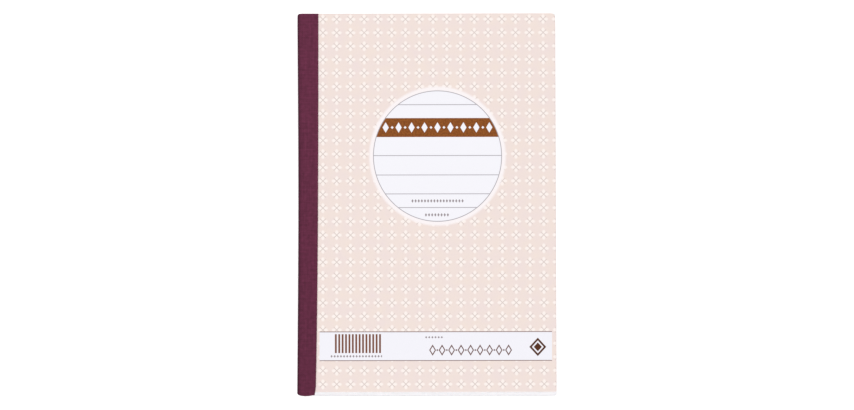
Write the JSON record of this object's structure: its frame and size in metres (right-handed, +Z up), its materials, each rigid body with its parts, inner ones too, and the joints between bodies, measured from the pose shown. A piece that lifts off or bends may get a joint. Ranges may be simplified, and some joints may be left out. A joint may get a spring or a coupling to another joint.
{
  "type": "carbonless order book",
  "caption": "Portrait order book of self-copying sets, bound at the left under a dark cloth spine tape, with turning leaves and a loose writing shield.",
  "frame": {"origin": "under the middle of the closed book's outline, on the surface it lies on", "axes": "+X from the bound spine to the fore edge, +Y up the page from foot to head, +Z up through the leaves to the front cover"},
  "size_m": [0.1406, 0.212, 0.0126],
  "materials": {
    "cover_card": "printed and varnished",
    "back_board": "uncoated grey board",
    "book_cloth": "woven and filled book cloth",
    "staple_wire": "galvanised wire",
    "binding_glue": "dried dispersion glue",
    "top_copy_paper": "uncoated writing face",
    "second_copy_paper": "uncoated, pale pink",
    "third_copy_paper": "uncoated, pale blue",
    "set_paper": "leaves of three pale colours",
    "shield_card": "uncoated card"
  },
  "bodies": {
    "binding": {"spine_cloth": "book_cloth", "spine_glue": "binding_glue", "staple_1": "staple_wire", "staple_2": "staple_wire", "front_cover_margin": "cover_card", "back_cover_margin": "back_board", "set_01_top_copy_margin": "top_copy_paper", "set_01_second_copy_margin": "second_copy_paper", "set_01_third_copy_margin": "third_copy_paper", "set_02_top_copy_margin": "top_copy_paper", "set_02_second_copy_margin": "second_copy_paper", "set_02_third_copy_margin": "third_copy_paper", "set_03_margin": "set_paper", "set_04_margin": "set_paper", "set_05_margin": "set_paper", "set_06_margin": "set_paper", "set_07_margin": "set_paper", "set_08_margin": "set_paper", "set_09_margin": "set_paper", "set_10_margin": "set_paper", "sets_11_to_15_margin": "set_paper", "sets_16_to_20_margin": "set_paper", "sets_21_to_25_margin": "set_paper", "sets_26_to_30_margin": "set_paper", "sets_31_to_35_margin": "set_paper", "sets_36_to_40_margin": "set_paper", "sets_41_to_45_margin": "set_paper", "sets_46_to_50_margin": "set_paper"},
    "front_cover": {"front_cover": "cover_card"},
    "set_01_top_copy_stub": {"set_01_top_copy_stub": "top_copy_paper"},
    "set_01_second_copy_stub": {"set_01_second_copy_stub": "second_copy_paper"},
    "set_01_third_copy": {"set_01_third_copy": "third_copy_paper"},
    "set_02_top_copy_stub": {"set_02_top_copy_stub": "top_copy_paper"},
    "set_02_second_copy_stub": {"set_02_second_copy_stub": "second_copy_paper"},
    "set_02_third_copy": {"set_02_third_copy": "third_copy_paper"},
    "set_03": {"set_03": "set_paper"},
    "set_04": {"set_04": "set_paper"},
    "set_05": {"set_05": "set_paper"},
    "set_06": {"set_06": "set_paper"},
    "set_07": {"set_07": "set_paper"},
    "set_08": {"set_08": "set_paper"},
    "set_09": {"set_09": "set_paper"},
    "set_10": {"set_10": "set_paper"},
    "sets_11_to_15": {"sets_11_to_15": "set_paper"},
    "sets_16_to_20": {"sets_16_to_20": "set_paper"},
    "sets_21_to_25": {"sets_21_to_25": "set_paper"},
    "sets_26_to_30": {"sets_26_to_30": "set_paper"},
    "sets_31_to_35": {"sets_31_to_35": "set_paper"},
    "sets_36_to_40": {"sets_36_to_40": "set_paper"},
    "sets_41_to_45": {"sets_41_to_45": "set_paper"},
    "sets_46_to_50": {"sets_46_to_50": "set_paper"},
    "set_01_top_copy": {"set_01_top_copy": "top_copy_paper"},
    "set_01_second_copy": {"set_01_second_copy": "second_copy_paper"},
    "set_02_top_copy": {"set_02_top_copy": "top_copy_paper"},
    "set_02_second_copy": {"set_02_second_copy": "second_copy_paper"},
    "back_cover": {"back_cover": "back_board"},
    "writing_shield": {"writing_shield": "shield_card"}
  },
  "joints": [
    {"name": "front_cover_hinge", "type": "hinge", "parent": "binding", "child": "front_cover", "pos_m": [-0.05852, 0, 0.0126], "axis": [0, -1, 0], "range_deg": [0, 178]},
    {"name": "set_01_top_copy_hinge", "type": "hinge", "parent": "binding", "child": "set_01_top_copy_stub", "pos_m": [-0.05852, 0, 0.0126], "axis": [0, -1, 0], "range_deg": [0, 178]},
    {"name": "set_01_second_copy_hinge", "type": "hinge", "parent": "binding", "child": "set_01_second_copy_stub", "pos_m": [-0.05852, 0, 0.0126], "axis": [0, -1, 0], "range_deg": [0, 178]},
    {"name": "set_01_third_copy_hinge", "type": "hinge", "parent": "binding", "child": "set_01_third_copy", "pos_m": [-0.05852, 0, 0.0126], "axis": [0, -1, 0], "range_deg": [0, 178]},
    {"name": "set_02_top_copy_hinge", "type": "hinge", "parent": "binding", "child": "set_02_top_copy_stub", "pos_m": [-0.05852, 0, 0.0126], "axis": [0, -1, 0], "range_deg": [0, 178]},
    {"name": "set_02_second_copy_hinge", "type": "hinge", "parent": "binding", "child": "set_02_second_copy_stub", "pos_m": [-0.05852, 0, 0.0126], "axis": [0, -1, 0], "range_deg": [0, 178]},
    {"name": "set_02_third_copy_hinge", "type": "hinge", "parent": "binding", "child": "set_02_third_copy", "pos_m": [-0.05852, 0, 0.0126], "axis": [0, -1, 0], "range_deg": [0, 178]},
    {"name": "set_03_hinge", "type": "hinge", "parent": "binding", "child": "set_03", "pos_m": [-0.05852, 0, 0.0126], "axis": [0, -1, 0], "range_deg": [0, 178]},
    {"name": "set_04_hinge", "type": "hinge", "parent": "binding", "child": "set_04", "pos_m": [-0.05852, 0, 0.0126], "axis": [0, -1, 0], "range_deg": [0, 178]},
    {"name": "set_05_hinge", "type": "hinge", "parent": "binding", "child": "set_05", "pos_m": [-0.05852, 0, 0.0126], "axis": [0, -1, 0], "range_deg": [0, 178]},
    {"name": "set_06_hinge", "type": "hinge", "parent": "binding", "child": "set_06", "pos_m": [-0.05852, 0, 0.0126], "axis": [0, -1, 0], "range_deg": [0, 178]},
    {"name": "set_07_hinge", "type": "hinge", "parent": "binding", "child": "set_07", "pos_m": [-0.05852, 0, 0.0126], "axis": [0, -1, 0], "range_deg": [0, 178]},
    {"name": "set_08_hinge", "type": "hinge", "parent": "binding", "child": "set_08", "pos_m": [-0.05852, 0, 0.0126], "axis": [0, -1, 0], "range_deg": [0, 178]},
    {"name": "set_09_hinge", "type": "hinge", "parent": "binding", "child": "set_09", "pos_m": [-0.05852, 0, 0.0126], "axis": [0, -1, 0], "range_deg": [0, 178]},
    {"name": "set_10_hinge", "type": "hinge", "parent": "binding", "child": "set_10", "pos_m": [-0.05852, 0, 0.0126], "axis": [0, -1, 0], "range_deg": [0, 178]},
    {"name": "sets_11_to_15_hinge", "type": "hinge", "parent": "binding", "child": "sets_11_to_15", "pos_m": [-0.05852, 0, 0.0126], "axis": [0, -1, 0], "range_deg": [0, 178]},
    {"name": "sets_16_to_20_hinge", "type": "hinge", "parent": "binding", "child": "sets_16_to_20", "pos_m": [-0.05852, 0, 0.0126], "axis": [0, -1, 0], "range_deg": [0, 178]},
    {"name": "sets_21_to_25_hinge", "type": "hinge", "parent": "binding", "child": "sets_21_to_25", "pos_m": [-0.05852, 0, 0.0126], "axis": [0, -1, 0], "range_deg": [0, 178]},
    {"name": "sets_26_to_30_hinge", "type": "hinge", "parent": "binding", "child": "sets_26_to_30", "pos_m": [-0.05852, 0, 0.0126], "axis": [0, -1, 0], "range_deg": [0, 178]},
    {"name": "sets_31_to_35_hinge", "type": "hinge", "parent": "binding", "child": "sets_31_to_35", "pos_m": [-0.05852, 0, 0.0126], "axis": [0, -1, 0], "range_deg": [0, 178]},
    {"name": "sets_36_to_40_hinge", "type": "hinge", "parent": "binding", "child": "sets_36_to_40", "pos_m": [-0.05852, 0, 0.0126], "axis": [0, -1, 0], "range_deg": [0, 178]},
    {"name": "sets_41_to_45_hinge", "type": "hinge", "parent": "binding", "child": "sets_41_to_45", "pos_m": [-0.05852, 0, 0.0126], "axis": [0, -1, 0], "range_deg": [0, 178]},
    {"name": "sets_46_to_50_hinge", "type": "hinge", "parent": "binding", "child": "sets_46_to_50", "pos_m": [-0.05852, 0, 0.0126], "axis": [0, -1, 0], "range_deg": [0, 178]},
    {"name": "set_01_top_copy_tear_off", "type": "slide", "parent": "set_01_top_copy_stub", "child": "set_01_top_copy", "axis": [1, 0, 0], "range_m": [0, 0.126]},
    {"name": "set_01_second_copy_tear_off", "type": "slide", "parent": "set_01_second_copy_stub", "child": "set_01_second_copy", "axis": [1, 0, 0], "range_m": [0, 0.126]},
    {"name": "set_02_top_copy_tear_off", "type": "slide", "parent": "set_02_top_copy_stub", "child": "set_02_top_copy", "axis": [1, 0, 0], "range_m": [0, 0.126]},
    {"name": "set_02_second_copy_tear_off", "type": "slide", "parent": "set_02_second_copy_stub", "child": "set_02_second_copy", "axis": [1, 0, 0], "range_m": [0, 0.126]},
    {"name": "back_cover_hinge", "type": "hinge", "parent": "binding", "child": "back_cover", "pos_m": [-0.05852, 0, -0.00005], "axis": [0, 1, 0], "range_deg": [0, 178]},
    {"name": "writing_shield_slide", "type": "slide", "parent": "binding", "child": "writing_shield", "axis": [1, 0, 0], "range_m": [0, 0.13]}
  ],
  "couplings": [
    {"joint": "set_01_top_copy_hinge", "follows": "front_cover_hinge", "ratio": 0.95652},
    {"joint": "set_01_second_copy_hinge", "follows": "front_cover_hinge", "ratio": 0.91304},
    {"joint": "set_01_third_copy_hinge", "follows": "front_cover_hinge", "ratio": 0.86957},
    {"joint": "set_02_top_copy_hinge", "follows": "front_cover_hinge", "ratio": 0.82609},
    {"joint": "set_02_second_copy_hinge", "follows": "front_cover_hinge", "ratio": 0.78261},
    {"joint": "set_02_third_copy_hinge", "follows": "front_cover_hinge", "ratio": 0.73913},
    {"joint": "set_03_hinge", "follows": "front_cover_hinge", "ratio": 0.69565},
    {"joint": "set_04_hinge", "follows": "front_cover_hinge", "ratio": 0.65217},
    {"joint": "set_05_hinge", "follows": "front_cover_hinge", "ratio": 0.6087},
    {"joint": "set_06_hinge", "follows": "front_cover_hinge", "ratio": 0.56522},
    {"joint": "set_07_hinge", "follows": "front_cover_hinge", "ratio": 0.52174},
    {"joint": "set_08_hinge", "follows": "front_cover_hinge", "ratio": 0.47826},
    {"joint": "set_09_hinge", "follows": "front_cover_hinge", "ratio": 0.43478},
    {"joint": "set_10_hinge", "follows": "front_cover_hinge", "ratio": 0.3913},
    {"joint": "sets_11_to_15_hinge", "follows": "front_cover_hinge", "ratio": 0.34783},
    {"joint": "sets_16_to_20_hinge", "follows": "front_cover_hinge", "ratio": 0.30435},
    {"joint": "sets_21_to_25_hinge", "follows": "front_cover_hinge", "ratio": 0.26087},
    {"joint": "sets_26_to_30_hinge", "follows": "front_cover_hinge", "ratio": 0.21739},
    {"joint": "sets_31_to_35_hinge", "follows": "front_cover_hinge", "ratio": 0.17391},
    {"joint": "sets_36_to_40_hinge", "follows": "front_cover_hinge", "ratio": 0.13043},
    {"joint": "sets_41_to_45_hinge", "follows": "front_cover_hinge", "ratio": 0.086957},
    {"joint": "sets_46_to_50_hinge", "follows": "front_cover_hinge", "ratio": 0.043478}
  ]
}
